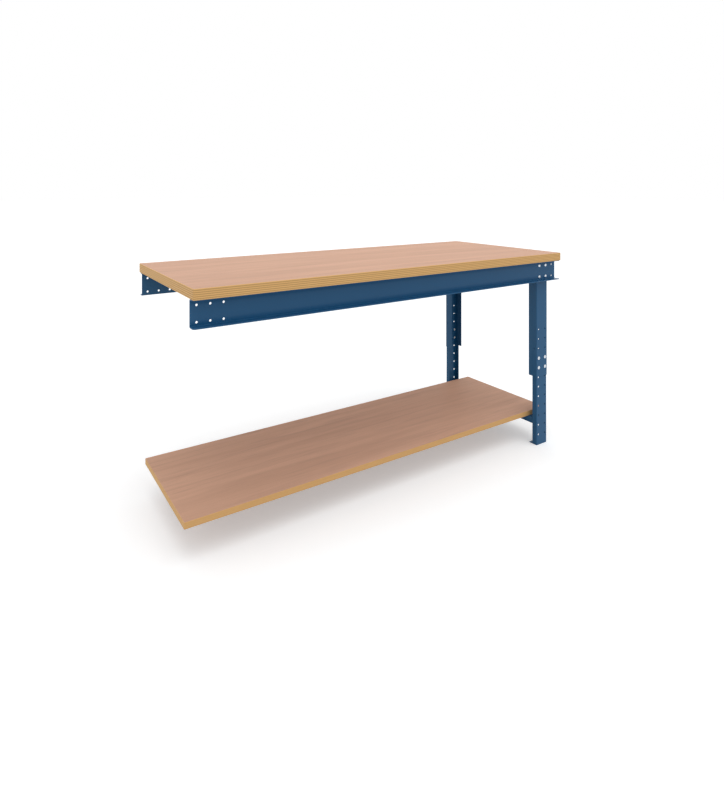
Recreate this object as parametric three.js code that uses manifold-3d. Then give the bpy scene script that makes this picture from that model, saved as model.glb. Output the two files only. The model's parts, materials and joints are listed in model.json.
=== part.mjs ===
// Extension bay of a height-adjustable assembly table.
// A plywood worktop lies on two bent steel beams. One leg frame carries the right end, and the
// bolt holes at the left end take the leg frame of the neighbouring table. The legs telescope:
// each lower leg slides inside an upper leg and is bolted through a grid of holes.
// Millimetres. X runs along the table, Y from front to back, Z up from the floor.
// The origin is on the floor, under the middle of the worktop.

import * as THREE from 'three';
import { mergeVertices } from 'three/addons/utils/BufferGeometryUtils.js';
import Module from 'manifold-3d';

const wasm = await Module();
wasm.setup();

// Worktop
const TOP_LENGTH = 2000;
const TOP_DEPTH = 750;
const TOP_THICKNESS = 40;
const TOP_CORNER_RADIUS = 5;
const TOP_EDGE_EASING = 1;
const WORK_HEIGHT = 1003;

// Shelf, flush with the worktop at the left end, its upper face at SHELF_HEIGHT above the floor
const SHELF_RIGHT_INSET = 8;
const SHELF_SIDE_GAP = 7.5;
const SHELF_THICKNESS = 25;
const SHELF_CORNER_RADIUS = 3;
const SHELF_EDGE_EASING = 0.8;
const SHELF_HEIGHT = 161;

// How far the worktop reaches beyond the outsides of the front and rear legs
const FRONT_OVERHANG = 42;
const REAR_OVERHANG = 50;

// Beams: channels that open outwards, as long as the worktop
const BEAM_HEIGHT = 100;
const BEAM_FLANGE = 38;
const BEAM_SHEET = 3;
const BEAM_BEND = 3;
const BEAM_FLANGE_CORNER = 12;

// Bolt pattern punched in both ends of each beam, and in the top of each upper leg
const COLUMN_END_MARGIN = 25;
const COLUMN_COUNT = 3;
const ROW_TOP_MARGIN = 23;
const ROW_BOTTOM_MARGIN = 17;

// Legs: channels that open inwards, the lower one nested in the upper one
const LEG_WIDTH = 84;
const LEG_HOLE_MARGIN = 17;
const LEG_SHEET = 1.5;
const LEG_BEND = 1;
const UPPER_LEG_DEPTH = 49;
const LOWER_LEG_DEPTH = 26;
const LEG_ROW_PITCH = 50;
const LOWER_LEG_FIRST_ROW_HEIGHT = 54;
const LOWER_LEG_ROWS = 13;
const LOWER_LEG_END_MARGIN = 46;
const UPPER_LEG_ROWS = 5;
const UPPER_LEG_END_MARGIN = 47;
const ROWS_BELOW_BOLTS = 7;
const BOLTED_ROWS = 2;

// Round hole in the flanges of each upper leg, one row above the bolts
const SIDE_HOLE_DIAMETER = 10;
const SIDE_HOLE_INSET = 13;

// Foot plates
const FOOT_DEPTH = 46;
const FOOT_SHEET = 3;
const FOOT_CORNER_RADIUS = 3;

// Cross rails of the leg frame: channels that open downwards
const SHELF_RAIL_HEIGHT = 30;
const UPPER_RAIL_HEIGHT = 48;
const RAIL_SHEET = 2;
const RAIL_BEND = 2;

// Bolts and nuts
const BOLT_DIAMETER = 8;
const BOLT_HEAD_DIAMETER = 17;
const BOLT_HEAD_HEIGHT = 4.6;
const BOLT_TIP_CHAMFER = 0.8;
const BOLT_END_BEYOND_NUT = 2.5;
const NUT_ACROSS_FLATS = 13;
const NUT_HEIGHT = 6.5;

// Wood screws
const SCREW_DIAMETER = 5;
const SCREW_HEAD_DIAMETER = 11;
const SCREW_HEAD_HEIGHT = 2.6;
const SCREW_BITE = 18;
const SCREW_POINT = 4;
const TOP_SCREWS_PER_BEAM = 4;
const TOP_SCREW_END_MARGIN = 190;
const SHELF_SCREW_COUNT = 3;
const SHELF_SCREW_EDGE_MARGIN = 60;

// Clearances
const SEAT_GAP = 0.3;
const SLIDE_GAP = 0.3;
const THREAD_GAP = 0.3;
const BOLT_HOLE_GAP = 0.5;
const SCREW_HOLE_GAP = 0.4;

// Facets
const ARC_STEPS = 3;
const HOLE_SIDES = 12;
const HEAD_SIDES = 12;
const NUT_SIDES = 6;
const SCREW_SIDES = 8;
const DOME_STEPS = 3;
const CUT_OVERRUN = 5;
const MERGE_DISTANCE = 1e-4;

// Heights worked out from the sizes above
const topUnderside = WORK_HEIGHT - TOP_THICKNESS;
const beamTop = topUnderside - SEAT_GAP;
const beamBottom = beamTop - BEAM_HEIGHT;
const shelfUnderside = SHELF_HEIGHT - SHELF_THICKNESS;
const shelfRailTop = shelfUnderside - SEAT_GAP;
const lowerLegBottom = FOOT_SHEET + SEAT_GAP;
const lowerLegLastRow = LOWER_LEG_FIRST_ROW_HEIGHT + (LOWER_LEG_ROWS - 1) * LEG_ROW_PITCH;
const lowerLegTop = lowerLegLastRow + LOWER_LEG_END_MARGIN;
const firstBoltedHeight = LOWER_LEG_FIRST_ROW_HEIGHT + ROWS_BELOW_BOLTS * LEG_ROW_PITCH;
const upperLegBottom = firstBoltedHeight - UPPER_LEG_END_MARGIN;

// Lengths and places along the table. The leg is bolted to the two inner columns of the beam's pattern
const beamLength = TOP_LENGTH;
const shelfLength = TOP_LENGTH - SHELF_RIGHT_INSET;
const columnPitch = LEG_WIDTH - 2 * LEG_HOLE_MARGIN;
const innerColumn = beamLength / 2 - COLUMN_END_MARGIN - (COLUMN_COUNT - 1) * columnPitch;
const legCentre = innerColumn + columnPitch / 2;

// Places across the frame, which is measured over the outsides of the upper legs
const frameDepth = TOP_DEPTH - FRONT_OVERHANG - REAR_OVERHANG;
const frameShift = (FRONT_OVERHANG - REAR_OVERHANG) / 2;
const legFace = frameDepth / 2;
const shelfDepth = frameDepth - 2 * (UPPER_LEG_DEPTH + SHELF_SIDE_GAP);
const lowerLegInset = LEG_SHEET + SLIDE_GAP;
const lowerLegWidth = LEG_WIDTH - 2 * (LEG_SHEET + SLIDE_GAP);

// Columns and rows of the bolt pattern
const legColumns = [-columnPitch / 2, columnPitch / 2];
const beamRows = [beamTop - ROW_TOP_MARGIN, beamBottom + ROW_BOTTOM_MARGIN];
const boltHoleDiameter = BOLT_DIAMETER + 2 * BOLT_HOLE_GAP;
const lowerLegRows = rowHeights(LOWER_LEG_FIRST_ROW_HEIGHT, LOWER_LEG_ROWS);
const upperLegRows = rowHeights(firstBoltedHeight, UPPER_LEG_ROWS);
const boltedRows = rowHeights(firstBoltedHeight, BOLTED_ROWS);

// Finishes
const beechTop = { color: 0xd5ac94, roughness: 0.55, metalness: 0 };
const beechShelf = { color: 0xc49c86, roughness: 0.6, metalness: 0 };
const bluePaint = { color: 0x34587a, roughness: 0.45, metalness: 0.1 };
const zinc = { color: 0xc9d3df, roughness: 0.35, metalness: 0.9 };

function rowHeights(first, count) {
  return Array.from({ length: count }, (unused, i) => first + i * LEG_ROW_PITCH);
}

function spread(count, from, to) {
  return Array.from({ length: count }, (unused, i) => from + ((to - from) * i) / (count - 1));
}

// A closed geometry as a solid that can be cut and joined
function solidOf(geometry) {
  const bare = geometry.clone();
  bare.deleteAttribute('normal');
  bare.deleteAttribute('uv');
  const merged = mergeVertices(bare, MERGE_DISTANCE);
  return new wasm.Manifold(new wasm.Mesh({
    numProp: 3,
    vertProperties: Float32Array.from(merged.attributes.position.array),
    triVerts: Uint32Array.from(merged.index.array),
  }));
}

function geometryOf(solid) {
  const cut = solid.getMesh();
  const geometry = new THREE.BufferGeometry();
  geometry.setAttribute('position', new THREE.BufferAttribute(cut.vertProperties, 3));
  geometry.setIndex(new THREE.BufferAttribute(cut.triVerts, 1));
  geometry.computeVertexNormals();
  return geometry;
}

function cutAway(geometry, cutters) {
  const solid = cutters.reduce((left, cutter) => left.subtract(solidOf(cutter)), solidOf(geometry));
  return geometryOf(solid);
}

function mesh(name, geometry, finish) {
  const piece = new THREE.Mesh(geometry, new THREE.MeshStandardMaterial(finish));
  piece.name = name;
  return piece;
}

// A rectangle with round corners, centred on the origin
function roundedRectangle(width, depth, radius) {
  const x = width / 2 - radius;
  const y = depth / 2 - radius;
  const shape = new THREE.Shape();
  shape.absarc(x, y, radius, 0, Math.PI / 2, false);
  shape.absarc(-x, y, radius, Math.PI / 2, Math.PI, false);
  shape.absarc(-x, -y, radius, Math.PI, 1.5 * Math.PI, false);
  shape.absarc(x, -y, radius, 1.5 * Math.PI, 2 * Math.PI, false);
  return shape;
}

// The section of a bent channel: its web stands on the line x = 0, and its flanges run to x = depth
function channelSection(width, depth, sheet, bend) {
  const outer = bend + sheet;
  const middle = width / 2 - outer;
  const section = new THREE.Shape();
  section.moveTo(depth, -width / 2);
  section.lineTo(depth, -width / 2 + sheet);
  section.absarc(outer, -middle, bend, 1.5 * Math.PI, Math.PI, true);
  section.absarc(outer, middle, bend, Math.PI, Math.PI / 2, true);
  section.lineTo(depth, width / 2 - sheet);
  section.lineTo(depth, width / 2);
  section.absarc(outer, middle, outer, Math.PI / 2, Math.PI, false);
  section.absarc(outer, -middle, outer, Math.PI, 1.5 * Math.PI, false);
  return section;
}

// A section drawn out to a length, with its x and y axes turned to the given directions
function drawnOut(section, length, xDirection, yDirection) {
  const geometry = new THREE.ExtrudeGeometry(section, {
    depth: length,
    bevelEnabled: false,
    curveSegments: ARC_STEPS,
  });
  geometry.translate(0, 0, -length / 2);
  const along = xDirection.clone().cross(yDirection);
  geometry.applyMatrix4(new THREE.Matrix4().makeBasis(xDirection, yDirection, along));
  return geometry;
}

// A board with round corners and eased edges, its underside at z = 0
function board(length, depth, thickness, cornerRadius, easing) {
  const shape = roundedRectangle(length - 2 * easing, depth - 2 * easing, cornerRadius - easing);
  const geometry = new THREE.ExtrudeGeometry(shape, {
    depth: thickness - 2 * easing,
    bevelEnabled: true,
    bevelThickness: easing,
    bevelSize: easing,
    bevelSegments: 1,
    curveSegments: ARC_STEPS,
  });
  geometry.translate(0, 0, easing);
  return geometry;
}

// A round cutter through a wall, along the Y axis
function holeAlongY(diameter, x, y, z, length) {
  const cutter = new THREE.CylinderGeometry(diameter / 2, diameter / 2, length, HOLE_SIDES);
  cutter.translate(x, y, z);
  return cutter;
}

// A round cutter through both flanges of a leg, along the X axis
function holeAlongX(diameter, x, y, z, length) {
  const cutter = new THREE.CylinderGeometry(diameter / 2, diameter / 2, length, HOLE_SIDES);
  cutter.rotateZ(Math.PI / 2);
  cutter.translate(x, y, z);
  return cutter;
}

// A round cutter for a wood screw, along the Z axis
function screwHole(x, y, z, length) {
  const cutter = new THREE.CylinderGeometry(screwHoleRadius, screwHoleRadius, length, SCREW_SIDES);
  cutter.rotateX(Math.PI / 2);
  cutter.translate(x, y, z);
  return cutter;
}

// What is cut off a flange to round its corner: a square less a quarter disc, drawn through both flanges
function cornerCutter(end, outerEdge) {
  const size = BEAM_FLANGE_CORNER;
  const shape = new THREE.Shape();
  shape.moveTo(0, -size);
  shape.absarc(-size, -size, size, 0, Math.PI / 2, false);
  shape.lineTo(-size, CUT_OVERRUN);
  shape.lineTo(CUT_OVERRUN, CUT_OVERRUN);
  shape.lineTo(CUT_OVERRUN, -size);
  const cutter = drawnOut(shape, BEAM_HEIGHT + 2 * CUT_OVERRUN, new THREE.Vector3(1, 0, 0),
    new THREE.Vector3(0, -1, 0));
  if (end < 0) {
    cutter.rotateY(Math.PI);
  }
  cutter.translate(end * beamLength / 2, -outerEdge, 0);
  return cutter;
}

// Places of the screws along a beam, and along the shelf rail
const topScrewPlaces = spread(
  TOP_SCREWS_PER_BEAM,
  -beamLength / 2 + TOP_SCREW_END_MARGIN,
  beamLength / 2 - TOP_SCREW_END_MARGIN,
);
const topScrewOffset = (BEAM_FLANGE + BEAM_SHEET + BEAM_BEND) / 2;
const shelfScrewPlaces = spread(
  SHELF_SCREW_COUNT,
  -shelfDepth / 2 + SHELF_SCREW_EDGE_MARGIN,
  shelfDepth / 2 - SHELF_SCREW_EDGE_MARGIN,
);
const screwHoleRadius = SCREW_DIAMETER / 2 + SCREW_HOLE_GAP;
const screwHoleDepth = SCREW_BITE + SCREW_HOLE_GAP;

// Beam in its own frame: back of the web on y = 0, flanges towards -y, middle of the height at z = 0
function beamGeometry() {
  const outward = new THREE.Vector3(0, -1, 0);
  const up = new THREE.Vector3(0, 0, 1);
  const channel = drawnOut(
    channelSection(BEAM_HEIGHT, BEAM_FLANGE, BEAM_SHEET, BEAM_BEND),
    beamLength,
    outward,
    up,
  );
  const cutters = [];
  for (const end of [-1, 1]) {
    cutters.push(cornerCutter(end, BEAM_FLANGE));
    for (let column = 0; column < COLUMN_COUNT; column += 1) {
      const x = end * (beamLength / 2 - COLUMN_END_MARGIN - column * columnPitch);
      for (const height of beamRows) {
        const z = height - beamTop + BEAM_HEIGHT / 2;
        cutters.push(holeAlongY(boltHoleDiameter, x, 0, z, 2 * (BEAM_SHEET + CUT_OVERRUN)));
      }
    }
  }
  for (const x of topScrewPlaces) {
    cutters.push(screwHole(x, -topScrewOffset, BEAM_HEIGHT / 2, 2 * (BEAM_SHEET + CUT_OVERRUN)));
  }
  return cutAway(channel, cutters);
}

// Leg in its own frame: outside of the web on y = 0, flanges towards +y, heights from the floor
function legChannel(width, depth, bottom, top) {
  const inward = new THREE.Vector3(0, 1, 0);
  const left = new THREE.Vector3(-1, 0, 0);
  const channel = drawnOut(channelSection(width, depth, LEG_SHEET, LEG_BEND), top - bottom, inward, left);
  channel.translate(0, 0, (top + bottom) / 2);
  return channel;
}

function boltHolesInLeg(heights) {
  const length = 2 * (LEG_SHEET + CUT_OVERRUN);
  return heights.flatMap((z) => legColumns.map((x) => holeAlongY(boltHoleDiameter, x, 0, z, length)));
}

function upperLegGeometry() {
  const channel = legChannel(LEG_WIDTH, UPPER_LEG_DEPTH, upperLegBottom, beamTop);
  const height = firstBoltedHeight + BOLTED_ROWS * LEG_ROW_PITCH;
  const length = LEG_WIDTH + 2 * CUT_OVERRUN;
  const sideHole = holeAlongX(SIDE_HOLE_DIAMETER, 0, SIDE_HOLE_INSET, height, length);
  return cutAway(channel, [...boltHolesInLeg([...beamRows, ...upperLegRows]), sideHole]);
}

function lowerLegGeometry() {
  const channel = legChannel(lowerLegWidth, LOWER_LEG_DEPTH, lowerLegBottom, lowerLegTop);
  return cutAway(channel, boltHolesInLeg(lowerLegRows));
}

function footGeometry() {
  const shape = roundedRectangle(lowerLegWidth, FOOT_DEPTH, FOOT_CORNER_RADIUS);
  const plate = new THREE.ExtrudeGeometry(shape, {
    depth: FOOT_SHEET,
    bevelEnabled: false,
    curveSegments: ARC_STEPS,
  });
  plate.translate(0, FOOT_DEPTH / 2, 0);
  return plate;
}

// Cross rail between the flanges of two legs, its upper face at z = 0 and open below.
// Its ends stop where the inside bends of the legs begin.
function railGeometry(insideWidth, insideSpan, height, screwPlaces) {
  const down = new THREE.Vector3(0, 0, -1);
  const left = new THREE.Vector3(-1, 0, 0);
  const section = channelSection(insideWidth - 2 * SEAT_GAP, height, RAIL_SHEET, RAIL_BEND);
  const channel = drawnOut(section, insideSpan - 2 * LEG_BEND, down, left);
  const length = 2 * (RAIL_SHEET + CUT_OVERRUN);
  return cutAway(channel, screwPlaces.map((y) => screwHole(0, y, 0, length)));
}

// Round-headed bolt along +y: the seat of its domed head on y = 0, the head towards -y
function boltGeometry(grip) {
  const shank = grip + NUT_HEIGHT + BOLT_END_BEYOND_NUT;
  const headRadius = BOLT_HEAD_DIAMETER / 2;
  const shankRadius = BOLT_DIAMETER / 2;
  const profile = [];
  for (let step = 0; step <= DOME_STEPS; step += 1) {
    const angle = (step / DOME_STEPS) * (Math.PI / 2);
    profile.push(new THREE.Vector2(headRadius * Math.sin(angle), -BOLT_HEAD_HEIGHT * Math.cos(angle)));
  }
  profile.push(new THREE.Vector2(shankRadius, 0));
  profile.push(new THREE.Vector2(shankRadius, shank - BOLT_TIP_CHAMFER));
  profile.push(new THREE.Vector2(shankRadius - BOLT_TIP_CHAMFER, shank));
  profile.push(new THREE.Vector2(0, shank));
  return closedLathe(profile, HEAD_SIDES);
}

// A revolved profile whose two ends lie on the axis, as one closed body
function closedLathe(profile, sides) {
  return geometryOf(solidOf(new THREE.LatheGeometry(profile, sides)));
}

// Hexagon nut along +y, its seat on y = 0
function nutGeometry() {
  const cornerRadius = NUT_ACROSS_FLATS / 2 / Math.cos(Math.PI / NUT_SIDES);
  const body = new THREE.CylinderGeometry(cornerRadius, cornerRadius, NUT_HEIGHT, NUT_SIDES);
  body.translate(0, NUT_HEIGHT / 2, 0);
  const diameter = BOLT_DIAMETER + 2 * THREAD_GAP;
  const bore = holeAlongY(diameter, 0, NUT_HEIGHT / 2, 0, NUT_HEIGHT + 2 * CUT_OVERRUN);
  return cutAway(body, [bore]);
}

// Round-headed wood screw pointing up: the seat of its head on z = 0
function screwGeometry(sheet) {
  const shank = sheet + 2 * SEAT_GAP + SCREW_BITE;
  const headRadius = SCREW_HEAD_DIAMETER / 2;
  const shankRadius = SCREW_DIAMETER / 2;
  const screw = closedLathe([
    new THREE.Vector2(0, -SCREW_HEAD_HEIGHT),
    new THREE.Vector2(headRadius / 2, -SCREW_HEAD_HEIGHT),
    new THREE.Vector2(headRadius, 0),
    new THREE.Vector2(shankRadius, 0),
    new THREE.Vector2(shankRadius, shank - SCREW_POINT),
    new THREE.Vector2(0, shank),
  ], SCREW_SIDES);
  screw.rotateX(Math.PI / 2);
  return screw;
}

// Boards, with the blind holes that their screws bite into
function worktopMesh() {
  const panel = board(TOP_LENGTH, TOP_DEPTH, TOP_THICKNESS, TOP_CORNER_RADIUS, TOP_EDGE_EASING);
  const cutters = [];
  for (const side of [-1, 1]) {
    const y = frameShift + side * (legFace + SEAT_GAP + topScrewOffset);
    for (const x of topScrewPlaces) {
      cutters.push(screwHole(x, y, 0, 2 * screwHoleDepth));
    }
  }
  const worktop = mesh('worktop', cutAway(panel, cutters), beechTop);
  worktop.position.set(0, 0, topUnderside);
  return worktop;
}

function shelfMesh() {
  const middle = -SHELF_RIGHT_INSET / 2;
  const panel = board(shelfLength, shelfDepth, SHELF_THICKNESS, SHELF_CORNER_RADIUS, SHELF_EDGE_EASING);
  const cutters = shelfScrewPlaces.map((y) => screwHole(legCentre - middle, y, 0, 2 * screwHoleDepth));
  const shelf = mesh('shelf', cutAway(panel, cutters), beechShelf);
  shelf.position.set(middle, frameShift, shelfUnderside);
  return shelf;
}

// Cross rails of the leg frame, with the screws that hold the shelf
function shelfRailGroup() {
  const group = new THREE.Group();
  const span = frameDepth - 2 * (lowerLegInset + LEG_SHEET);
  const rail = railGeometry(lowerLegWidth - 2 * LEG_SHEET, span, SHELF_RAIL_HEIGHT, shelfScrewPlaces);
  group.add(mesh('shelf_rail', rail, bluePaint));
  shelfScrewPlaces.forEach((y, i) => {
    const screw = mesh(`shelf_screw_${i + 1}`, screwGeometry(RAIL_SHEET), zinc);
    screw.position.set(0, y, -RAIL_SHEET - SEAT_GAP);
    group.add(screw);
  });
  group.position.set(legCentre, frameShift, shelfRailTop);
  return group;
}

function upperRailMesh() {
  const span = frameDepth - 2 * LEG_SHEET;
  const geometry = railGeometry(LEG_WIDTH - 2 * LEG_SHEET, span, UPPER_RAIL_HEIGHT, []);
  const rail = mesh('upper_rail', geometry, bluePaint);
  rail.position.set(legCentre, frameShift, beamTop);
  return rail;
}

// Four bolts and nuts through two sheets, the outer one's face at y = outerFace
function boltGroup(label, heights, outerFace, firstSheet, gap, secondSheet) {
  const group = new THREE.Group();
  const grip = SEAT_GAP + firstSheet + gap + secondSheet + SEAT_GAP;
  heights.forEach((z, row) => {
    legColumns.forEach((x, column) => {
      const number = row * legColumns.length + column + 1;
      const bolt = mesh(`${label}_bolt_${number}`, boltGeometry(grip), zinc);
      bolt.position.set(x, outerFace - SEAT_GAP, z);
      const nut = mesh(`${label}_nut_${number}`, nutGeometry(), zinc);
      nut.position.set(x, outerFace - SEAT_GAP + grip, z);
      group.add(bolt, nut);
    });
  });
  return group;
}

// One side of the frame, built as the front side: outside of the leg on y = 0, outwards being -y
function sideGroup(side, turned) {
  const group = new THREE.Group();
  const across = turned ? -1 : 1;

  const beam = mesh(`${side}_beam`, beamGeometry(), bluePaint);
  beam.position.set(0, -SEAT_GAP, beamBottom + BEAM_HEIGHT / 2);
  group.add(beam);

  const topScrewSeat = beamTop - BEAM_SHEET - SEAT_GAP;
  topScrewPlaces.forEach((x, i) => {
    const screw = mesh(`${side}_worktop_screw_${i + 1}`, screwGeometry(BEAM_SHEET), zinc);
    screw.position.set(across * x, -SEAT_GAP - topScrewOffset, topScrewSeat);
    group.add(screw);
  });

  const leg = new THREE.Group();
  leg.position.x = across * legCentre;
  leg.add(mesh(`${side}_upper_leg`, upperLegGeometry(), bluePaint));
  const lowerLeg = mesh(`${side}_lower_leg`, lowerLegGeometry(), bluePaint);
  const foot = mesh(`${side}_foot_plate`, footGeometry(), bluePaint);
  lowerLeg.position.y = lowerLegInset;
  foot.position.y = lowerLegInset;
  leg.add(lowerLeg, foot);
  leg.add(boltGroup(`${side}_beam`, beamRows, -SEAT_GAP - BEAM_SHEET, BEAM_SHEET, SEAT_GAP, LEG_SHEET));
  leg.add(boltGroup(`${side}_leg`, boltedRows, 0, LEG_SHEET, SLIDE_GAP, LEG_SHEET));
  group.add(leg);

  group.position.y = frameShift + (turned ? legFace : -legFace);
  group.rotation.z = turned ? Math.PI : 0;
  return group;
}

const table = new THREE.Group();
table.add(worktopMesh(), shelfMesh(), shelfRailGroup(), upperRailMesh());
table.add(sideGroup('front', false), sideGroup('rear', true));

export default table;
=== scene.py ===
import json
import math
from collections import namedtuple

import bpy
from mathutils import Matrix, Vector

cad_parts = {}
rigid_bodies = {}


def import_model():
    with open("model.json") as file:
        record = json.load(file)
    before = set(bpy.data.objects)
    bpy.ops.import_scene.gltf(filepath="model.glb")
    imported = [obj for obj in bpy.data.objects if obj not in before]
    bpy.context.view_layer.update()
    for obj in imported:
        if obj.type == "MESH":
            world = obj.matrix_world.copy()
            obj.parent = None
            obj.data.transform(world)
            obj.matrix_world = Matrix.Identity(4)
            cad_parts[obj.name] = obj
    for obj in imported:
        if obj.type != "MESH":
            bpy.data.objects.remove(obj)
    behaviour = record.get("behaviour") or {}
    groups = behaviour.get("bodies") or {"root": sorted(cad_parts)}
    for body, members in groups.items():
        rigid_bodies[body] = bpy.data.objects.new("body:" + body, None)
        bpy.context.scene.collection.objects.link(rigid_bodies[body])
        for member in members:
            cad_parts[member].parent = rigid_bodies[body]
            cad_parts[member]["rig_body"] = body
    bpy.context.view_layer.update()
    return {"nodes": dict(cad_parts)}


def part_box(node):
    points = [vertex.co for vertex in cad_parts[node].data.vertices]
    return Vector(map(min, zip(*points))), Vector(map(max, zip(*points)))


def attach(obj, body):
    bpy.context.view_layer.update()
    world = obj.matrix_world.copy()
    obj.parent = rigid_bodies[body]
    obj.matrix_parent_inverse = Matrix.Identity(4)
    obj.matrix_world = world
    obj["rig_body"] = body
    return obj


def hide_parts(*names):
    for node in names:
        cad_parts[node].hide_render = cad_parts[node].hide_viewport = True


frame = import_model()

MM = 0.001

# Camera, fitted to the photograph: pixels in the 724 x 800 frame, metres in the table's frame
PHOTO_SIZE = (724, 800)
PHOTO_FOCAL = 548.426
PHOTO_CENTRE = (319.454, 187.934)
SENSOR = 36.0
CAMERA_PLACE = (-1.6073, -2.1789)
CAMERA_ABOVE_WORKTOP = 0.3424
CAMERA_HEADING = math.radians(31.5655)

# Light and floor
AMBIENT = 0.74
SUN_STRENGTH = 0.82
SUN_SPREAD = math.radians(50)
SUN_TILT = math.radians(16)
FLOOR_HALF = 60
FLOOR_GLOW = 0.30
FLOOR_WHITE = (0.60, 0.60, 0.60)
FLOOR_SEEN = (0.865, 0.882, 0.892)

# Noise patterns, their scale in waves per metre along X, Y and Z
NO_OFFSET = (0, 0, 0)
Pattern = namedtuple("Pattern", "scale detail roughness distortion offset", defaults=(2, 0.5, 0, NO_OFFSET))
STREAKS = Pattern((0.9, 13, 13), detail=4, roughness=0.55, distortion=0.5)
FIGURE = Pattern((2.2, 46, 46), detail=3, roughness=0.6, distortion=0.8, offset=(1.3, 0.6, 2.9))
CLOUDS = Pattern((0.8, 2.2, 2.2), offset=(3.1, 1.7, 0.4))
FIBRES = Pattern((7, 330, 330), detail=3, roughness=0.65)
FLECKS = Pattern((230, 1500, 1500), detail=1)
PLY_FIBRES = Pattern((16, 16, 900), detail=3)
PLY_PORES = Pattern((700, 700, 700))
BAND_FIBRES = Pattern((9, 9, 420), detail=3)
COAT_PEEL = Pattern((700, 700, 700), detail=1)
COAT_DRIFT = Pattern((5, 5, 5))
ZINC_CLOUDS = Pattern((420, 420, 420), detail=3)

# Linear colours. A mark of the material, or a painted shade, goes from nothing to its full share over a
# span of its pattern's values.
NOISE_SPAN = (0.3, 0.7)
StainOrShade = namedtuple("StainOrShade", "colour span share", defaults=(NOISE_SPAN, 1))
VENEER_DARK = (0.620, 0.365, 0.250)
VENEER_STREAK = StainOrShade((0.715, 0.427, 0.295), span=(0.36, 0.66))
VENEER_CLOUD = StainOrShade((0.690, 0.400, 0.272), span=(0.35, 0.70), share=0.35)
VENEER_FIGURE = StainOrShade((0.500, 0.300, 0.215), span=(0.52, 0.74), share=0.55)
VENEER_FLECK = StainOrShade((0.360, 0.190, 0.110), span=(0.66, 0.72), share=0.30)
FIBRE_SHADE = (0.93, 1.05)
# Painted shade: the shelf's veneer darker than the worktop's, for the worktop's shade over it.
SHELF_PAINTED_SHADE = 0.95
PLY_LIGHT = (0.905, 0.558, 0.229)
PLY_DARK = (0.605, 0.349, 0.134)
PLY_LOT = StainOrShade((0.600, 0.350, 0.140), span=(0, 1), share=0.12)
PLY_FIBRE = StainOrShade((0.500, 0.280, 0.100), span=(0.40, 0.75), share=0.22)
PLY_PORE = StainOrShade((0.400, 0.220, 0.090), span=(0.55, 0.75), share=0.15)
PLY_SEAM = StainOrShade((0.360, 0.190, 0.080), span=(0.10, 0), share=0.25)
EDGE_BAND = (0.790, 0.465, 0.190)
EDGE_BAND_FIBRE = StainOrShade((0.660, 0.380, 0.140), share=0.40)
PAINT_BLUE = (0.0300, 0.1170, 0.2450)
PAINT_DRIFT = StainOrShade((0.0310, 0.1210, 0.2530))
# Painted shade: the coat a darker blue in inner corners, where they are occluded.
PAINTED_CORNER_SHADE = StainOrShade((0.0130, 0.0980, 0.2280), span=(0.90, 0.80))
ZINC = (0.760, 0.790, 0.820)
ZINC_FILM = StainOrShade((0.660, 0.700, 0.750))

# Gloss and relief
WOOD_ROUGHNESS = (0.50, 0.60)
WOOD_SHINE = 0.15
WOOD_BUMP = 0.12
PAINT_ROUGHNESS = (0.20, 0.25)
PAINT_SHINE = 0.12
PAINT_BUMP = 0.06
ZINC_ROUGHNESS = (0.24, 0.36)
BUMP_DEPTH = 0.1 * MM

# Boards and sheet metal
PLY_COUNT = 11
FACE_SLOPE = (0.72, 0.76)
# Painted shade in the coat's inner corners: the reach and samples of the occlusion that places it.
PAINTED_SHADE_REACH = 30 * MM
PAINTED_SHADE_SAMPLES = 16
EDGE_ROUND = 0.35 * MM
EDGE_SEGMENTS = 2
SMOOTH_ANGLE = math.radians(38)
WELD_DISTANCE = 0.01 * MM

# Fasteners, in millimetres
FASTENERS = ("bolt", "nut", "screw")
SIDES = 36
THREAD_STEPS = 6
DOME_STEPS = 8
BOLT_RADIUS = 4.0
BOLT_PITCH = 1.25
BOLT_THREAD_DEPTH = 0.65
BOLT_HEAD_HEIGHT = 4.6
BOLT_HEAD_RIM = 0.9
BOLT_TIP_CHAMFER = 0.4
SOCKET_ACROSS = 5.0
SOCKET_DEPTH = 2.6
NUT_ACROSS = 13.0
NUT_BORE = 4.1
NUT_CHAMFER_SLOPE = math.tan(math.radians(30))
SCREW_RADIUS = 2.5
SCREW_PITCH = 2.4
SCREW_THREAD_DEPTH = 0.7
SCREW_HEAD_HEIGHT = 2.6
SCREW_HEAD_RIM = 0.5
SCREW_POINT = 4.0
RECESS_REACH = 2.7
RECESS_WIDTH = 1.3
RECESS_DEPTH = 1.6
FACE_CHAMFER = 0.3

# Weld beads, in millimetres. The two legs of a bead lie on the two faces that it joins.
BEAD_STEP = 0.5
BEAD_RIPPLE_PITCH = 2.4
BEAD_RIPPLE = 0.10
BEAD_CROWN = 0.22
BEAD_ARC_STEPS = 6
BEAD_TAPER = 2.0
BEAD_END_SHARE = 0.2
RAIL_BEAD_LEGS = (2.6, 1.7)
RAIL_BEAD_CLEAR = 3
FOOT_BEAD_LEGS = (3, 3)
FOOT_BEAD_CLEAR = 5
LEG_SHEET = 1.5


def corners(node):
    """Lowest and highest corner of a CAD node, and its middle."""
    low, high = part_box(node)
    return low, high, (low + high) / 2


def is_fastener(node):
    return any(word in node for word in FASTENERS)


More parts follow.
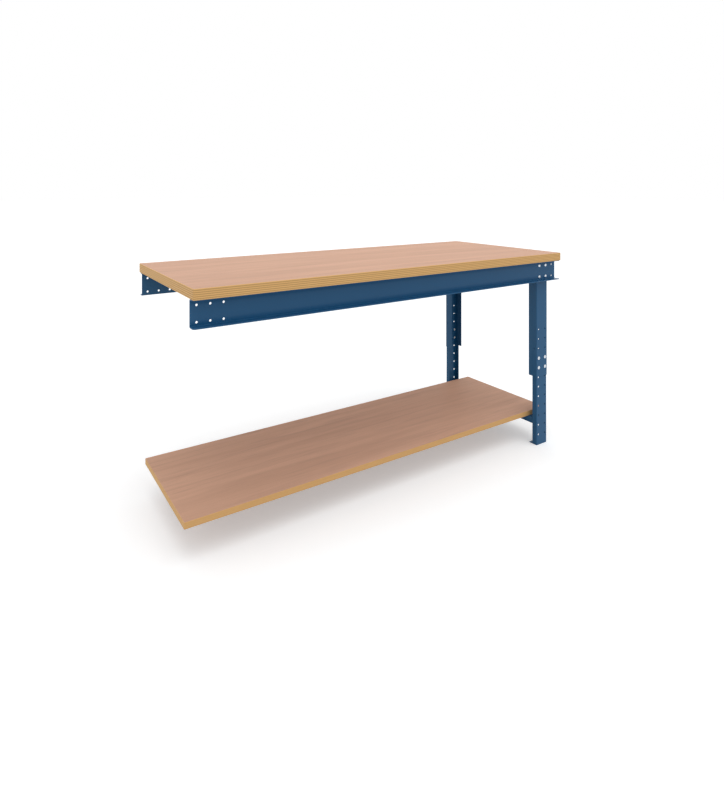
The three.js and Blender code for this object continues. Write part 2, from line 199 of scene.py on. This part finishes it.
class Shader:
    """A node tree with a Principled shader, and short calls to fill it."""

    def __init__(self, name):
        self.material = bpy.data.materials.new(name)
        self.material.use_nodes = True
        self.tree = self.material.node_tree
        self.shader = self.tree.nodes["Principled BSDF"]
        self.coordinates = self.tree.nodes.new("ShaderNodeTexCoord")

    def node(self, kind, inputs=(), **settings):
        made = self.tree.nodes.new(kind)
        for key, value in settings.items():
            setattr(made, key, value)
        for socket, value in dict(inputs).items():
            self.put(made.inputs[socket], value)
        return made

    def put(self, socket, value):
        if isinstance(value, bpy.types.NodeSocket):
            self.tree.links.new(value, socket)
        else:
            socket.default_value = value

    def math(self, operation, first, second=0.0):
        made = self.node("ShaderNodeMath", {0: first, 1: second}, operation=operation)
        return made.outputs[0]

    def noise(self, pattern):
        place = self.node(
            "ShaderNodeMapping",
            {
                "Vector": self.coordinates.outputs["Object"],
                "Scale": pattern.scale,
                "Location": pattern.offset,
            },
        )
        made = self.node(
            "ShaderNodeTexNoise",
            {
                "Vector": place.outputs["Vector"],
                "Scale": 1.0,
                "Detail": pattern.detail,
                "Roughness": pattern.roughness,
                "Distortion": pattern.distortion,
            },
        )
        return made.outputs["Fac"]

    def ranged(self, value, low, high, to_low=0.0, to_high=1.0):
        made = self.node(
            "ShaderNodeMapRange",
            {"Value": value, "From Min": low, "From Max": high, "To Min": to_low, "To Max": to_high},
        )
        return made.outputs["Result"]

    def mix(self, share, first, second, blend="MIX"):
        made = self.node("ShaderNodeMix", data_type="RGBA", blend_type=blend)
        self.put(made.inputs["Factor"], share)
        for socket, value in ((made.inputs[6], first), (made.inputs[7], second)):
            self.put(socket, (*value, 1.0) if isinstance(value, tuple) else value)
        return made.outputs[2]

    def stained_or_shaded(self, tone, pattern, stain_or_shade):
        """A tone with another colour on it where the pattern says: a mark of the material itself, or
        painted shade.
        """
        return self.mix(self.ranged(pattern, *stain_or_shade.span, 0.0, stain_or_shade.share), tone, stain_or_shade.colour)

    def bump(self, height, strength):
        relief = {"Height": height, "Strength": strength, "Distance": BUMP_DEPTH}
        made = self.node("ShaderNodeBump", relief)
        self.put(self.shader.inputs["Normal"], made.outputs["Normal"])

    def set(self, **inputs):
        for name, value in inputs.items():
            self.put(self.shader.inputs[name.replace("_", " ")], value)


def veneer_colour(s, shade=1.0):
    """Beech veneer with its grain along X: broad streaks, figure, fine fibres and short flecks.

    A factor below 1 darkens the whole veneer, as painted shade. The pattern of the fibres comes with it."""
    fibres = s.noise(FIBRES)
    tone = s.stained_or_shaded(VENEER_DARK, s.noise(STREAKS), VENEER_STREAK)
    tone = s.stained_or_shaded(tone, s.noise(CLOUDS), VENEER_CLOUD)
    tone = s.stained_or_shaded(tone, s.noise(FIGURE), VENEER_FIGURE)
    fine = s.ranged(fibres, *NOISE_SPAN, *(limit * shade for limit in FIBRE_SHADE))
    grey = s.node("ShaderNodeCombineColor", {0: fine, 1: fine, 2: fine}).outputs[0]
    tone = s.mix(1.0, tone, grey, "MULTIPLY")
    return s.stained_or_shaded(tone, s.noise(FLECKS), VENEER_FLECK), fibres


def face_share(s):
    """1 on the upper and lower faces of a board, 0 on its edges."""
    normal = s.node("ShaderNodeSeparateXYZ", {0: s.coordinates.outputs["Normal"]})
    return s.ranged(s.math("ABSOLUTE", normal.outputs["Z"]), *FACE_SLOPE)


def board_material(s, edge, face, fibres):
    """One tone on the edges of a board, another on its faces, and a satin film over both."""
    s.set(
        Base_Color=s.mix(face_share(s), edge, face),
        Roughness=s.ranged(fibres, *NOISE_SPAN, *WOOD_ROUGHNESS),
        Specular_IOR_Level=WOOD_SHINE,
    )
    s.bump(fibres, WOOD_BUMP)
    return s.material


def plywood_material(node):
    """Veneered faces, and a row of plies on the edges, light and dark by turns."""
    low, high, _ = corners(node)
    s = Shader(f"{node}_plywood")
    face, fibres = veneer_colour(s)
    place = s.node("ShaderNodeSeparateXYZ", {0: s.coordinates.outputs["Object"]})
    rise = s.math("SUBTRACT", place.outputs["Z"], low.z)
    height = s.math("MULTIPLY", rise, PLY_COUNT / (high.z - low.z))
    ply = s.math("FLOOR", height)
    within = s.math("SUBTRACT", height, ply)
    seam = s.math("MINIMUM", within, s.math("SUBTRACT", 1.0, within))
    lot = s.node("ShaderNodeTexWhiteNoise", {"W": ply}, noise_dimensions="1D").outputs["Value"]
    tone = s.mix(s.math("MODULO", ply, 2.0), PLY_LIGHT, PLY_DARK)
    tone = s.stained_or_shaded(tone, lot, PLY_LOT)
    tone = s.stained_or_shaded(tone, s.noise(PLY_FIBRES), PLY_FIBRE)
    tone = s.stained_or_shaded(tone, s.noise(PLY_PORES), PLY_PORE)
    tone = s.stained_or_shaded(tone, seam, PLY_SEAM)
    return board_material(s, tone, face, fibres)


def banded_material(node):
    """Veneered faces, darkened as painted shade of the worktop above, and a plain band on the edges."""
    s = Shader(f"{node}_board")
    # Painted shade: the shelf's veneer a little darker than the worktop's.
    face, fibres = veneer_colour(s, SHELF_PAINTED_SHADE)
    band = s.stained_or_shaded(EDGE_BAND, s.noise(BAND_FIBRES), EDGE_BAND_FIBRE)
    return board_material(s, band, face, fibres)


def paint_material():
    """Blue powder coat: a smooth film with a faint orange peel, and painted shade: a darker blue in inner
    corners.
    """
    s = Shader("blue_powder_coat")
    drift = s.noise(COAT_DRIFT)
    reach = {"Distance": PAINTED_SHADE_REACH}
    # Painted shade: the occlusion of inner corners turns the coat a darker blue there.
    painted_shade_mask = s.node("ShaderNodeAmbientOcclusion", reach, samples=PAINTED_SHADE_SAMPLES, only_local=True)
    tone = s.stained_or_shaded(PAINT_BLUE, drift, PAINT_DRIFT)
    s.set(
        Base_Color=s.stained_or_shaded(tone, painted_shade_mask.outputs["AO"], PAINTED_CORNER_SHADE),
        Roughness=s.ranged(drift, *NOISE_SPAN, *PAINT_ROUGHNESS),
        Specular_IOR_Level=PAINT_SHINE,
    )
    s.bump(s.noise(COAT_PEEL), PAINT_BUMP)
    return s.material


def zinc_material():
    """Bright zinc plate with a faint cloudy film."""
    s = Shader("zinc_plate")
    clouds = s.noise(ZINC_CLOUDS)
    s.set(
        Base_Color=s.stained_or_shaded(ZINC, clouds, ZINC_FILM),
        Metallic=1.0,
        Roughness=s.ranged(clouds, *NOISE_SPAN, *ZINC_ROUGHNESS),
    )
    return s.material


def smooth_by_angle():
    """A modifier's node group: round surfaces shade smooth, and sharp edges stay sharp."""
    group = bpy.data.node_groups.new("smooth_by_angle", "GeometryNodeTree")
    group.interface.new_socket("Geometry", in_out="INPUT", socket_type="NodeSocketGeometry")
    group.interface.new_socket("Geometry", in_out="OUTPUT", socket_type="NodeSocketGeometry")
    start = group.nodes.new("NodeGroupInput")
    end = group.nodes.new("NodeGroupOutput")
    faces = group.nodes.new("GeometryNodeSetShadeSmooth")
    edges = group.nodes.new("GeometryNodeSetShadeSmooth")
    edges.domain = "EDGE"
    edges.inputs["Shade Smooth"].default_value = False
    angle = group.nodes.new("GeometryNodeInputMeshEdgeAngle")
    sharp = group.nodes.new("FunctionNodeCompare")
    sharp.operation = "GREATER_THAN"
    sharp.inputs["B"].default_value = SMOOTH_ANGLE
    group.links.new(angle.outputs["Unsigned Angle"], sharp.inputs["A"])
    group.links.new(sharp.outputs["Result"], edges.inputs["Selection"])
    group.links.new(start.outputs[0], faces.inputs["Geometry"])
    group.links.new(faces.outputs["Geometry"], edges.inputs["Geometry"])
    group.links.new(edges.outputs["Geometry"], end.inputs[0])
    return group


def finish_node(name, material, shading):
    """A CAD piece with its finish and finely rounded edges."""
    piece = frame["nodes"][name]
    piece.data.materials.clear()
    piece.data.materials.append(material)
    weld = piece.modifiers.new("weld", "WELD")
    weld.merge_threshold = WELD_DISTANCE
    bevel = piece.modifiers.new("edges", "BEVEL")
    bevel.width = EDGE_ROUND
    bevel.segments = EDGE_SEGMENTS
    bevel.limit_method = "ANGLE"
    bevel.angle_limit = SMOOTH_ANGLE
    smooth = piece.modifiers.new("smooth", "NODES")
    smooth.node_group = shading
    flat = piece.modifiers.new("flat", "WEIGHTED_NORMAL")
    flat.keep_sharp = True


def polar_mesh(name, rings, closed=False):
    """A mesh round the Z axis. A ring gives its radius and height, in millimetres, at any angle.

    The rings run from the lowest end up the outside. A closed mesh turns back to its first ring."""
    points = []
    for ring in rings:
        for step in range(SIDES):
            angle = math.tau * step / SIDES
            radius, height = ring(angle)
            points.append(Vector((radius * math.cos(angle), radius * math.sin(angle), height)) * MM)
    faces = []
    for lower in range(len(rings) if closed else len(rings) - 1):
        upper = (lower + 1) % len(rings)
        for step in range(SIDES):
            after = (step + 1) % SIDES
            quad = (lower, step), (lower, after), (upper, after), (upper, step)
            faces.append([ring * SIDES + side for ring, side in quad])
    if not closed:
        faces.append(list(reversed(range(SIDES))))
        faces.append([len(points) - SIDES + step for step in range(SIDES)])
    mesh = bpy.data.meshes.new(name)
    mesh.from_pydata(points, [], faces)
    return mesh


def circle(radius, height):
    return lambda angle: (radius, height)


def hexagon_radius(across, angle):
    """Distance from the middle of a hexagon, with a flat at angle 0, to its outline."""
    sector = math.pi / 3
    return across / 2 / math.cos((angle + sector / 2) % sector - sector / 2)


def hexagon(across, height):
    return lambda angle: (hexagon_radius(across, angle), height)


def cross(reach, width, height):
    """A cross-shaped ring, its arms of one reach and width."""

    def ring(angle):
        quarter = math.pi / 2
        aside = abs((angle + quarter / 2) % quarter - quarter / 2)
        flank = width / 2 / max(math.sin(aside), width / 2 / reach)
        return min(reach / math.cos(aside), flank), height

    return ring


def thread(major, depth, pitch, low, high):
    """Rings of a thread between two heights."""
    count = round((high - low) / pitch * THREAD_STEPS)

    def at(height):
        def ring(angle):
            turn = (height / pitch - angle / math.tau) % 1
            return major - depth * abs(2 * turn - 1), height

        return ring

    return [at(low + (high - low) * step / count) for step in range(count + 1)]


def head_seat(shank_radius, head_radius):
    """Rings of the underside of a head, from its shank to its rim."""
    return [
        circle(shank_radius, 0),
        circle(head_radius - FACE_CHAMFER, 0),
        circle(head_radius, FACE_CHAMFER),
    ]


def dome(radius, rim, height, inner):
    """Rings of a domed head, from its rim to the edge of its recess, and the height there."""
    places = [radius + (inner - radius) * step / DOME_STEPS for step in range(DOME_STEPS + 1)]
    levels = [rim + (height - rim) * (1 - (place / radius) ** 2) for place in places]
    return [circle(*pair) for pair in zip(places, levels)], levels[-1]


def bolt_mesh(name, length, head_radius):
    """Button-head bolt with a hexagon socket, its head seated at z = 0."""
    core = BOLT_RADIUS - BOLT_THREAD_DEPTH
    thread_end = BOLT_TIP_CHAMFER - length
    socket_edge = SOCKET_ACROSS / 2 / math.cos(math.pi / 6) + FACE_CHAMFER
    head, top = dome(head_radius, BOLT_HEAD_RIM, BOLT_HEAD_HEIGHT, socket_edge)
    rings = [circle(core - BOLT_TIP_CHAMFER, -length)]
    rings += thread(BOLT_RADIUS, BOLT_THREAD_DEPTH, BOLT_PITCH, thread_end, -FACE_CHAMFER)
    rings += head_seat(BOLT_RADIUS, head_radius)
    rings += head
    rings += [hexagon(SOCKET_ACROSS, top - depth) for depth in (FACE_CHAMFER, SOCKET_DEPTH)]
    return polar_mesh(name, rings)


def nut_mesh(name, thickness):
    """Hexagon nut with chamfered corners, its middle at z = 0."""
    half = thickness / 2
    flat = NUT_ACROSS / 2 - FACE_CHAMFER

    def corner(side):
        def ring(angle):
            radius = hexagon_radius(NUT_ACROSS, angle)
            return radius, side * (half - (radius - flat) * NUT_CHAMFER_SLOPE)

        return ring

    mouth = NUT_BORE + 2 * FACE_CHAMFER
    lead = half - 2 * FACE_CHAMFER
    rings = [circle(NUT_BORE, -lead), circle(mouth, -half), circle(flat, -half), corner(-1)]
    rings += [corner(1), circle(flat, half), circle(mouth, half), circle(NUT_BORE, lead)]
    return polar_mesh(name, rings, closed=True)


def screw_mesh(name, length, head_radius):
    """Pan-head wood screw with a cross recess, its head seated at z = 0."""
    core = SCREW_RADIUS - SCREW_THREAD_DEPTH
    thread_end = SCREW_POINT - length
    recess_edge = RECESS_REACH + FACE_CHAMFER
    head, top = dome(head_radius, SCREW_HEAD_RIM, SCREW_HEAD_HEIGHT, recess_edge)
    rings = [circle(FACE_CHAMFER, -length), circle(core, thread_end)]
    rings += thread(SCREW_RADIUS, SCREW_THREAD_DEPTH, SCREW_PITCH, thread_end, -FACE_CHAMFER)
    rings += head_seat(SCREW_RADIUS, head_radius)
    rings += head
    rings += [cross(RECESS_REACH, RECESS_WIDTH, top)]
    rings += [cross(RECESS_REACH / 2, RECESS_WIDTH / 2, top - RECESS_DEPTH)]
    return polar_mesh(name, rings)


def body_of(node):
    return frame["nodes"][node]["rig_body"]


def add_piece(name, mesh, body, material, shading):
    """A new piece of the table, on its body and with its finish."""
    if not mesh.materials:
        mesh.materials.append(material)
    piece = bpy.data.objects.new(name, mesh)
    bpy.context.scene.collection.objects.link(piece)
    piece.modifiers.new("smooth", "NODES").node_group = shading
    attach(piece, body)
    return piece


def fit_fastener(node, mesh, place, turn, material, shading):
    """A fine fastener in the place of a plain one."""
    piece = add_piece(f"{node}.fine", mesh, body_of(node), material, shading)
    piece.location = place
    piece.rotation_euler = (turn, 0, 0)
    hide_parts(node)


def add_fasteners(material, shading):
    """Bolts point their heads outwards, screws point theirs down. Each kind shares one mesh."""
    meshes = {}
    for node in filter(is_fastener, frame["nodes"]):
        low, high, middle = corners(node)
        size = (high - low) / MM
        kind = node.rsplit("_", 1)[0].removeprefix("front_").removeprefix("rear_")
        place = middle.copy()
        turn = math.copysign(math.pi / 2, -middle.y)
        if "bolt" in node:
            if kind not in meshes:
                meshes[kind] = bolt_mesh(kind, size.y - BOLT_HEAD_HEIGHT, size.x / 2)
            outer = low.y if middle.y < 0 else high.y
            place.y = outer - math.copysign(BOLT_HEAD_HEIGHT * MM, middle.y)
        elif "nut" in node:
            if kind not in meshes:
                meshes[kind] = nut_mesh(kind, size.y)
        else:
            if kind not in meshes:
                meshes[kind] = screw_mesh(kind, size.z - SCREW_HEAD_HEIGHT, size.x / 2)
            place.z = low.z + SCREW_HEAD_HEIGHT * MM
            turn = math.pi
        fit_fastener(node, meshes[kind], place, turn, material, shading)


def bead_mesh(name, start, end, first, second):
    """A fillet weld along a corner, its two legs given as vectors, with the ripples of its run."""
    run = end - start
    count = round(run.length / (BEAD_STEP * MM))
    points = []
    for step in range(count + 1):
        along = run.length * step / count
        ripple = 1 + BEAD_RIPPLE * math.sin(math.tau * along / (BEAD_RIPPLE_PITCH * MM))
        to_end = min(along, run.length - along) / (BEAD_TAPER * MM)
        taper = min(1, math.sqrt(to_end) + BEAD_END_SHARE)
        corner = start + run * step / count
        points.append(corner)
        for turn in range(BEAD_ARC_STEPS + 1):
            angle = math.pi / 2 * turn / BEAD_ARC_STEPS
            reach = ripple * taper * (1 + BEAD_CROWN * math.sin(2 * angle))
            reach /= math.cos(angle) + math.sin(angle)
            points.append(corner + (first * math.cos(angle) + second * math.sin(angle)) * reach)
    ring = BEAD_ARC_STEPS + 2
    faces = [list(range(ring)), [count * ring + side for side in reversed(range(ring))]]
    for step in range(count):
        for side in range(ring):
            after = (side + 1) % ring
            quad = (step, side), (step + 1, side), (step + 1, after), (step, after)
            faces.append([row * ring + place for row, place in quad])
    if run.dot(first.cross(second)) > 0:
        faces = [list(reversed(face)) for face in faces]
    mesh = bpy.data.meshes.new(name)
    mesh.from_pydata(points, [], faces)
    return mesh


def rail_beads(rail, leg):
    """Upright beads where the flange edges of a leg meet the sides of a cross rail."""
    low, high, _ = corners(rail)
    leg_low, leg_high, leg_middle = corners(leg)
    inwards = -math.copysign(1, leg_middle.y)
    edge = leg_high.y if inwards > 0 else leg_low.y
    clear = RAIL_BEAD_CLEAR * MM
    for name, side, face in (("left", -1, low.x), ("right", 1, high.x)):
        start = Vector((face, edge, low.z + clear))
        end = Vector((face, edge, high.z - clear))
        first = Vector((0, inwards, 0)) * RAIL_BEAD_LEGS[0] * MM
        second = Vector((side, 0, 0)) * RAIL_BEAD_LEGS[1] * MM
        yield f"{leg}_rail_weld.{name}", start, end, first, second


def foot_beads(foot, leg):
    """Beads inside a leg, along the foot of its web and of its flanges."""
    plate = corners(foot)[1].z
    low, high, middle = corners(leg)
    inwards = -math.copysign(1, middle.y)
    web = (low.y if inwards > 0 else high.y) + inwards * LEG_SHEET * MM
    edge = high.y if inwards > 0 else low.y
    left = low.x + LEG_SHEET * MM
    right = high.x - LEG_SHEET * MM
    clear = FOOT_BEAD_CLEAR * MM
    aside = FOOT_BEAD_LEGS[0] * MM
    up = Vector((0, 0, FOOT_BEAD_LEGS[1] * MM))
    start = Vector((left + clear, web, plate))
    end = Vector((right - clear, web, plate))
    yield f"{leg}_web_weld", start, end, Vector((0, inwards * aside, 0)), up
    for name, face, way in (("left", left, 1), ("right", right, -1)):
        start = Vector((face, web + inwards * clear, plate))
        end = Vector((face, edge - inwards * clear / 2, plate))
        yield f"{leg}_flange_weld.{name}", start, end, Vector((way * aside, 0, 0)), up


def add_welds(material, shading):
    """The beads of the front and the rear frame, each on the body of its leg."""
    for side in ("front", "rear"):
        lower = f"{side}_lower_leg"
        upper = f"{side}_upper_leg"
        beads = [(lower, bead) for bead in rail_beads("shelf_rail", lower)]
        beads += [(lower, bead) for bead in foot_beads(f"{side}_foot_plate", lower)]
        beads += [(upper, bead) for bead in rail_beads("upper_rail", upper)]
        for leg, (name, *shape) in beads:
            add_piece(name, bead_mesh(name, *shape), body_of(leg), material, shading)


def make_camera():
    data = bpy.data.cameras.new("camera")
    longest = max(PHOTO_SIZE)
    data.sensor_width = SENSOR
    data.lens = PHOTO_FOCAL / longest * SENSOR
    data.shift_x = (PHOTO_SIZE[0] / 2 - PHOTO_CENTRE[0]) / longest
    data.shift_y = (PHOTO_CENTRE[1] - PHOTO_SIZE[1] / 2) / longest
    camera = bpy.data.objects.new("camera", data)
    worktop_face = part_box("worktop")[1].z
    camera.location = (*CAMERA_PLACE, worktop_face + CAMERA_ABOVE_WORKTOP)
    camera.rotation_euler = (math.pi / 2, 0, -CAMERA_HEADING)
    bpy.context.scene.collection.objects.link(camera)
    bpy.context.scene.camera = camera


def seen_directly(tree):
    """1 for camera, glossy and transmission rays, 0 for the rays that carry light."""
    path = tree.nodes.new("ShaderNodeLightPath")
    total = path.outputs["Is Camera Ray"]
    for name in ("Is Glossy Ray", "Is Transmission Ray"):
        larger = tree.nodes.new("ShaderNodeMath")
        larger.operation = "MAXIMUM"
        tree.links.new(total, larger.inputs[0])
        tree.links.new(path.outputs[name], larger.inputs[1])
        total = larger.outputs[0]
    return total


def make_world():
    """A white background, which lights the table a little less than it shows."""
    world = bpy.data.worlds.new("studio")
    bpy.context.scene.world = world
    world.use_nodes = True
    tree = world.node_tree
    background = tree.nodes["Background"]
    strength = tree.nodes.new("ShaderNodeMapRange")
    strength.inputs["To Min"].default_value = AMBIENT
    strength.inputs["To Max"].default_value = 1.0
    tree.links.new(seen_directly(tree), strength.inputs["Value"])
    tree.links.new(strength.outputs["Result"], background.inputs["Strength"])
    background.inputs["Color"].default_value = (1, 1, 1, 1)


def make_lamp():
    """A wide soft light from above, a little from the front."""
    data = bpy.data.lights.new("soft_overhead", "SUN")
    data.energy = SUN_STRENGTH
    data.angle = SUN_SPREAD
    lamp = bpy.data.objects.new("soft_overhead", data)
    lamp.rotation_euler = (SUN_TILT, 0, 0)
    bpy.context.scene.collection.objects.link(lamp)


def floor_material():
    """A matte floor, which shows white outside the table's shadow."""
    material = bpy.data.materials.new("floor_white")
    material.use_nodes = True
    tree = material.node_tree
    tree.nodes.remove(tree.nodes["Principled BSDF"])
    output = tree.nodes["Material Output"]
    matte = tree.nodes.new("ShaderNodeBsdfDiffuse")
    matte.inputs["Color"].default_value = (*FLOOR_WHITE, 1)
    seen = tree.nodes.new("ShaderNodeBsdfDiffuse")
    seen.inputs["Color"].default_value = (*FLOOR_SEEN, 1)
    glow = tree.nodes.new("ShaderNodeEmission")
    glow.inputs["Strength"].default_value = FLOOR_GLOW
    both = tree.nodes.new("ShaderNodeAddShader")
    tree.links.new(seen.outputs[0], both.inputs[0])
    tree.links.new(glow.outputs[0], both.inputs[1])
    choice = tree.nodes.new("ShaderNodeMixShader")
    tree.links.new(seen_directly(tree), choice.inputs[0])
    tree.links.new(matte.outputs[0], choice.inputs[1])
    tree.links.new(both.outputs[0], choice.inputs[2])
    tree.links.new(choice.outputs[0], output.inputs["Surface"])
    return material


def make_floor():
    mesh = bpy.data.meshes.new("floor")
    outline = [(-1, -1, 0), (1, -1, 0), (1, 1, 0), (-1, 1, 0)]
    mesh.from_pydata([Vector(corner) * FLOOR_HALF for corner in outline], [], [(0, 1, 2, 3)])
    mesh.materials.append(floor_material())
    floor = bpy.data.objects.new("floor", mesh)
    bpy.context.scene.collection.objects.link(floor)


bpy.context.scene.view_settings.view_transform = "Standard"
make_camera()
make_world()
make_lamp()
make_floor()

shading = smooth_by_angle()
paint = paint_material()
zinc = zinc_material()
boards = {"worktop": plywood_material("worktop"), "shelf": banded_material("shelf")}
for name in frame["nodes"]:
    metal = zinc if is_fastener(name) else paint
    finish_node(name, boards.get(name, metal), shading)
add_fasteners(zinc, shading)
add_welds(paint, shading)
